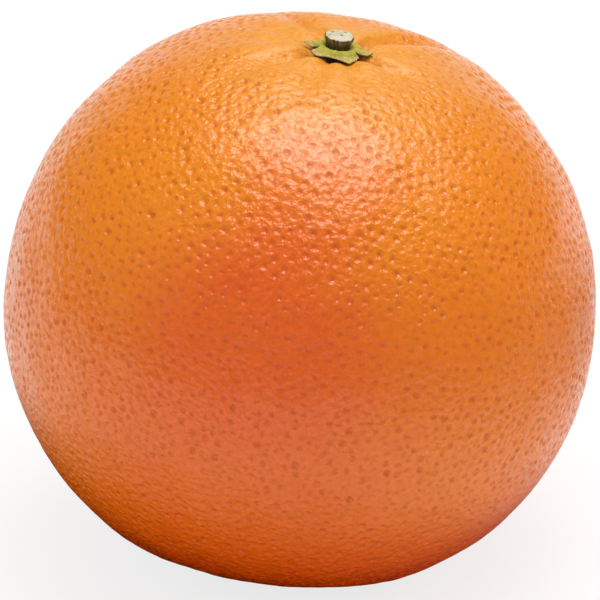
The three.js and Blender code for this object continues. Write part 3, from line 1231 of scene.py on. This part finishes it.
@dataclass(frozen=True)
class Calyx:
    """The star of five dried sepals with a fleshy collar, which sits in the dimple round the stalk."""

    form: FruitForm = field(default_factory=FruitForm)
    finish: CalyxFinish = field(default_factory=CalyxFinish)
    sepals: tuple[Sepal, ...] = (
        Sepal(354, 4.75, 28),
        Sepal(75, 4.5, 34),
        Sepal(171, 4.8, 17),
        Sepal(222, 4.25, 50),
        Sepal(288, 4.6, 46),
    )
    sepal_point: float = 1.4
    waist: float = 3.4
    notches: tuple[Stretch, ...] = (Stretch(192, 6, 0.85), Stretch(335, 6, 0.6), Stretch(122, 5, 0.3))
    notch_shade: float = 1.3
    notch_widening: float = 1.3
    notch_start: Span = (0.78, 0.96)
    rim_start: Span = (0.84, 0.97)
    curls: tuple[Stretch, ...] = (Stretch(262, 20, 0.3), Stretch(288, 10, -0.1), Stretch(171, 10, 0.08))
    curl_power: int = 4
    clearance: float = 0.06
    thickness: float = 0.72
    edge_thickness: float = 0.12
    thinning_power: int = 3
    collar_radius: float = 2.25
    collar_height: float = 0.42
    collar_spread: float = 0.65
    collar_fade: Span = (2.2, 3.5)
    rags: tuple[Ripple, ...] = (Ripple(0.35, 3), Ripple(0.12, 4))
    rag_depth: float = 0.07
    waves: Ripple = Ripple(0.9, 6, 0.09)
    fibres: Ripple = Ripple(0.42, 5)
    fibre_girth: float = 3.2
    fibre_drift: float = 0.25
    fibre_height: float = 0.035
    vein_width: float = 0.28
    vein_height: float = 0.07
    vein_start: Span = (2.6, 3.4)
    crest_start: Span = (2.7, 3.4)
    crest_middle: float = 0.5
    crest_fibres: float = 0.5
    sides: int = 288
    underside_rings: int = 10
    top_rings: int = 44

    def rim(self, turn: Values) -> Values:
        """Radius of the star's rim.

        Args:
            turn: Angles round the stalk, in radians.

        Returns:
            One radius an angle.
        """
        radius = np.full_like(turn, self.waist)
        for sepal in self.sepals:
            share = np.clip(1.0 - turned_away(turn, sepal.azimuth) / math.radians(sepal.half_width), 0, 1)
            radius = radius + (sepal.length - self.waist) * share**self.sepal_point
        ragged = sum(rag.at(around_axis(1.0, turn)) for rag in self.rags)
        return radius - departure(self.notches, turn) - self.rag_depth * np.abs(ragged)

    def build(self) -> bpy.types.Object:
        """Makes and dresses the calyx.

        Returns:
            The calyx's object.
        """
        outward = np.linspace(0.0, 1.0, self.underside_rings + 1)
        inward = np.linspace(1.0, 0.0, self.top_rings + 1)
        share, turn = np.meshgrid(np.concatenate([outward, inward]), ring_turns(self.sides), indexing="ij")
        top = np.arange(len(share))[:, None] > self.underside_rings
        distance = share * self.rim(turn)
        fibres = self.fibres.at(around_axis(self.fibre_girth, turn, self.fibre_drift * distance))
        veins = self._veins(distance, turn)
        waves = np.abs(self.waves.at(around_axis(1.0, turn))) + departure(self.curls, turn)
        body = self.thickness - self.edge_thickness
        thickness = self.edge_thickness + body * (1.0 - share**self.thinning_power)
        collar = bell(distance - self.collar_radius, self.collar_spread)
        relief = self.collar_height * collar + self.vein_height * veins + self.fibre_height * fibres * share
        underside = self.form.seat_height(distance) + self.clearance + waves * share**self.curl_power
        height = underside + top * (thickness + relief)

        dark = self.notch_shade * sum(notch.share(turn, self.notch_widening) for notch in self.notches)
        crest = np.clip(self.crest_middle + self.crest_fibres * fibres + veins, 0.0, 1.0)
        attributes = {
            "collar": (1.0 - smoothstep(distance, *self.collar_fade)) * top,
            "notch": np.clip(dark * smoothstep(share, *self.notch_start), 0.0, 1.0),
            "rim": smoothstep(share, *self.rim_start),
            "crest": crest * smoothstep(distance, *self.crest_start),
            # the underside, which the finish paints near black as shade
            "underside": ~top,
        }
        piece = self.form.on_stalk("calyx_star", distance, turn, height, attributes)
        piece.data.materials.append(self.finish.material())
        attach(piece, BODY)
        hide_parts("calyx")
        return piece

    def _veins(self, distance: Values, turn: Values) -> Values:
        """A raised midrib along each sepal, outside the collar."""
        ribs = (bell(distance * turned_away(turn, sepal.azimuth), self.vein_width) for sepal in self.sepals)
        return sum(ribs) * smoothstep(distance, *self.vein_start)


@dataclass(frozen=True)
class Vessel:
    """A dark spot in the cut face: where it lies and its radius, as shares of the stalk's radius."""

    across: float
    along: float
    radius: float

    def shade(self, across: Values, along: Values) -> Values:
        """How deep inside the vessel each place of the cut face is, from 0 to 1."""
        return bell(np.hypot(across - self.across, along - self.along), self.radius)


@dataclass(frozen=True)
class StalkStub:
    """The short ribbed stub of the stalk with its clean cut."""

    form: FruitForm = field(default_factory=FruitForm)
    finish: StalkFinish = field(default_factory=StalkFinish)
    radius: float = 1.9
    waist: float = 0.84
    flare: float = 0.8
    length: float = 1.42
    calyx_thickness: float = 0.5
    seat_gap: float = 0.6
    root: float = 0.25
    rib_count: int = 9
    rib_sway: int = 2
    rib_twist: float = 0.25
    rib_height: float = 0.035
    ridges: Ripple = Ripple(0.4, 11)
    ridge_girth: float = 2.0
    ridge_drift: float = 0.3
    ridge_height: float = 0.05
    crest_middle: float = 0.35
    crest_ribs: float = 0.2
    crest_ridges: float = 0.35
    crest_start: Span = (0.2, 1.1)
    bevel: float = 0.12
    crown: float = 0.1
    ring_spacing: float = 0.34
    ring_start: Span = (0.1, 0.4)
    ring_height: float = 0.022
    rays: Ripple = Ripple(0.3, 13, 0.03)
    ray_drift: float = 0.2
    vessels: tuple[Vessel, ...] = (
        Vessel(-0.48, 0.43, 0.15),
        Vessel(0.41, 0.60, 0.12),
        Vessel(0.13, -0.05, 0.13),
        Vessel(-0.70, -0.10, 0.07),
        Vessel(-0.15, 0.72, 0.08),
    )
    vessel_depth: float = 0.09
    sides: int = 180
    side_rings: int = 26
    face_rings: int = 26

    def build(self) -> bpy.types.Object:
        """Makes and dresses the stub.

        Returns:
            The stub's object.
        """
        foot = self.form.seat_height(self.radius) + self.calyx_thickness + self.seat_gap
        rise = np.linspace(-self.root, self.length - self.bevel, self.side_rings)
        width = self.waist + (1.0 - self.waist) * smoothstep(rise, 0.0, self.flare * self.length)
        inward = np.linspace(1.0 - self.bevel / self.radius, 0.0, self.face_rings)
        shares = np.concatenate([[0.0], width, inward])
        rise = np.concatenate([[-self.root], rise, np.full(self.face_rings, self.length)])
        share, turn = np.meshgrid(shares, ring_turns(self.sides), indexing="ij")
        rise = np.broadcast_to(rise[:, None], share.shape)
        face = np.arange(len(share))[:, None] > self.side_rings

        ribs = np.cos(self.rib_count * turn + np.sin(self.rib_sway * turn) + self.rib_twist * rise)
        ridges = self.ridges.at(around_axis(self.ridge_girth, turn, self.ridge_drift * rise))
        distance = share * (self.radius + self.rib_height * ribs + self.ridge_height * ridges * ~face)
        vessels = self._vessels(distance, turn)
        height = foot + rise + face * (self._face_relief(distance, turn) - self.vessel_depth * vessels)
        crest = np.clip(self.crest_middle + self.crest_ribs * ribs + self.crest_ridges * ridges, 0.0, 1.0)
        attributes = {
            "cut": face,
            # paler crests, darkened towards the base of the stub as painted shade
            "rib_tone_and_shade": crest * smoothstep(rise, *self.crest_start),
            "vessel": face * np.clip(vessels, 0.0, 1.0),
        }
        piece = self.form.on_stalk("stalk_stub", distance, turn, height, attributes)
        piece.data.materials.append(self.finish.material())
        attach(piece, BODY)
        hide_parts("stem")
        return piece

    def _vessels(self, distance: Values, turn: Values) -> Values:
        """How deep inside the dark vessels each point of the cut face is, added up."""
        across, along = np.moveaxis(around_axis(distance / self.radius, turn), -1, 0)
        return sum(vessel.shade(across, along) for vessel in self.vessels)

    def _face_relief(self, distance: Values, turn: Values) -> Values:
        """The crown, growth rings and rays of the cut face.

        Args:
            distance: How far each point is from the stalk axis.
            turn: Its angle round the axis.

        Returns:
            Heights over the plain cut.
        """
        share = distance / self.radius
        rings = np.cos(math.tau * distance / self.ring_spacing) * smoothstep(share, *self.ring_start)
        rays = np.abs(self.rays.at(around_axis(1.0, turn, self.ray_drift * distance)) * share)
        return self.crown * (1.0 - share**2) + self.ring_height * (rings - 1.0) - rays


# ---- The studio -----------------------------------------------------------------------------


class LightRole(Enum):
    """What a light is for, as whether reflections show it and whether it lights the surfaces."""

    SHINE = (True, False)
    FILL = (False, True)
    BOTH = (True, True)


@dataclass(frozen=True)
class StudioLight:
    """A soft light that looks at the fruit: its role, the way to it, its distance, size and radiance."""

    name: str
    role: LightRole
    towards: tuple[float, float, float]
    distance: float
    width: float
    length: float
    radiance: float

    def hang(self, target: Vector) -> bpy.types.Object:
        """Hangs the light.

        Args:
            target: What the light looks at, in metres.

        Returns:
            The light's object.
        """
        lamp = bpy.data.lights.new(self.name, "AREA")
        lamp.shape = "RECTANGLE"
        lamp.size, lamp.size_y = self.width, self.length
        lamp.energy = math.pi * self.width * self.length * self.radiance
        light = add_object(self.name, lamp)
        light.visible_glossy, light.visible_diffuse = self.role.value
        way = Vector(self.towards).normalized()
        light.location = target + way * self.distance
        light.rotation_euler = way.to_track_quat("Z", "Y").to_euler()
        return light


@dataclass(frozen=True)
class Studio:
    """A pale floor, a dim room with a pale backdrop, broad soft light overhead and weaker lights round."""

    lights: tuple[StudioLight, ...] = (
        StudioLight("key_softbox", LightRole.SHINE, (0.13, 0.1, 0.97), 0.78, 0.46, 0.45, 6.0),
        StudioLight("key_fill", LightRole.FILL, (0.12, 0.12, 0.97), 0.8, 0.56, 0.5, 3.7),
        StudioLight("ceiling_panel", LightRole.SHINE, (0.16, 0.12, 0.97), 0.86, 1.2, 1.15, 1.25),
        StudioLight("front_fill", LightRole.FILL, (0.0, -0.93, 0.25), 1.2, 0.9, 0.9, 0.1),
        StudioLight("left_fill", LightRole.FILL, (-0.85, -0.35, 0.45), 1.0, 0.8, 0.8, 0.5),
        StudioLight("right_fill", LightRole.FILL, (0.85, 0.1, 0.45), 1.0, 0.8, 0.8, 0.55),
        StudioLight("back_sweep", LightRole.BOTH, (0.0, 0.98, 0.19), 1.0, 1.35, 0.46, 0.68),
    )
    floor: FloorFinish = field(default_factory=FloorFinish)
    floor_radius: float = 2500.0
    floor_sides: int = 96
    floor_gap: float = 0.02
    room_glow: float = 0.65
    reflected_glow: float = 0.07
    backdrop_glow: float = 1.0

    def build(self, target: Vector) -> None:
        """Lays the floor, sets the room's glow and hangs the lights.

        Args:
            target: What the lights look at, in metres.
        """
        self._lay_floor()
        self._light_room()
        for light in self.lights:
            light.hang(target)
        bpy.context.scene.view_settings.view_transform = "Standard"
        bpy.context.scene.view_settings.look = "None"

    def _lay_floor(self) -> None:
        """Makes the floor, a hair's breadth under the fruit."""
        rim = around_axis(self.floor_radius, ring_turns(self.floor_sides), np.zeros(self.floor_sides))
        floor = make_piece("floor", rim, [range(self.floor_sides)])
        floor.data.materials.append(self.floor.material())
        floor.location.z = -self.floor_gap * MM

    def _light_room(self) -> None:
        """Gives the room a dim glow, and a pale backdrop where nothing stands in front of it."""
        world = bpy.data.worlds.new("studio_room")
        world.use_nodes = True
        shop = NodeShop(world.node_tree)
        seen = shop.node("ShaderNodeLightPath", output="Is Camera Ray")
        reflected = shop.node("ShaderNodeLightPath", output="Is Glossy Ray")
        glow = shop.blend(self.room_glow, self.reflected_glow, reflected)
        room = shop.node("ShaderNodeBackground", {}, {"Color": shop.blend(glow, self.backdrop_glow, seen)})
        shop.node("ShaderNodeOutputWorld", {}, {"Surface": room})
        bpy.context.scene.world = world


@dataclass(frozen=True)
class Viewpoint:
    """The camera: in front of the fruit and above it, with a long lens."""

    elevation: float = 27.0
    distance: float = 600.0
    sensor_width: float = 36.0
    picture_width: float = 600.0
    picture_middle: Span = (300.0, 300.0)
    pixels_per_mm: float = 7.355
    fruit_middle_pixel: Span = (300.0, 307.4)

    def build(self, middle: Points) -> bpy.types.Object:
        """Sets up the camera.

        Args:
            middle: The fruit's middle in the row frame, in millimetres.

        Returns:
            The camera, which is the scene's own from now on.
        """
        data = bpy.data.cameras.new("camera")
        data.sensor_width = self.sensor_width
        data.lens = self.sensor_width * self.pixels_per_mm * self.distance / self.picture_width
        camera = add_object("camera", data)
        rise = math.radians(self.elevation)
        across = np.array([1.0, 0.0, 0.0])
        upward = np.array([0.0, math.sin(rise), math.cos(rise)])
        backward = np.array([0.0, -math.cos(rise), math.sin(rise)])
        right_shift = (self.picture_middle[0] - self.fruit_middle_pixel[0]) / self.pixels_per_mm
        up_shift = (self.fruit_middle_pixel[1] - self.picture_middle[1]) / self.pixels_per_mm
        place = middle + self.distance * backward + right_shift * across + up_shift * upward
        camera.location = Vector(place) * MM
        camera.rotation_euler = (math.pi / 2.0 - rise, 0.0, 0.0)
        bpy.context.scene.camera = camera
        return camera


def main() -> None:
    """Builds the fruit and its studio."""
    logging.basicConfig(level=logging.INFO, format="%(name)s: %(message)s")
    form = FruitForm()
    Viewpoint().build(form.middle)
    Studio().build(Vector(form.middle) * MM)
    for builder in (Peel(form), Calyx(form), StalkStub(form)):
        piece = builder.build()
        piece.data.calc_loop_triangles()
        LOG.info("%s: %d triangles", piece.name, len(piece.data.loop_triangles))


if __name__ == "__main__":
    main()
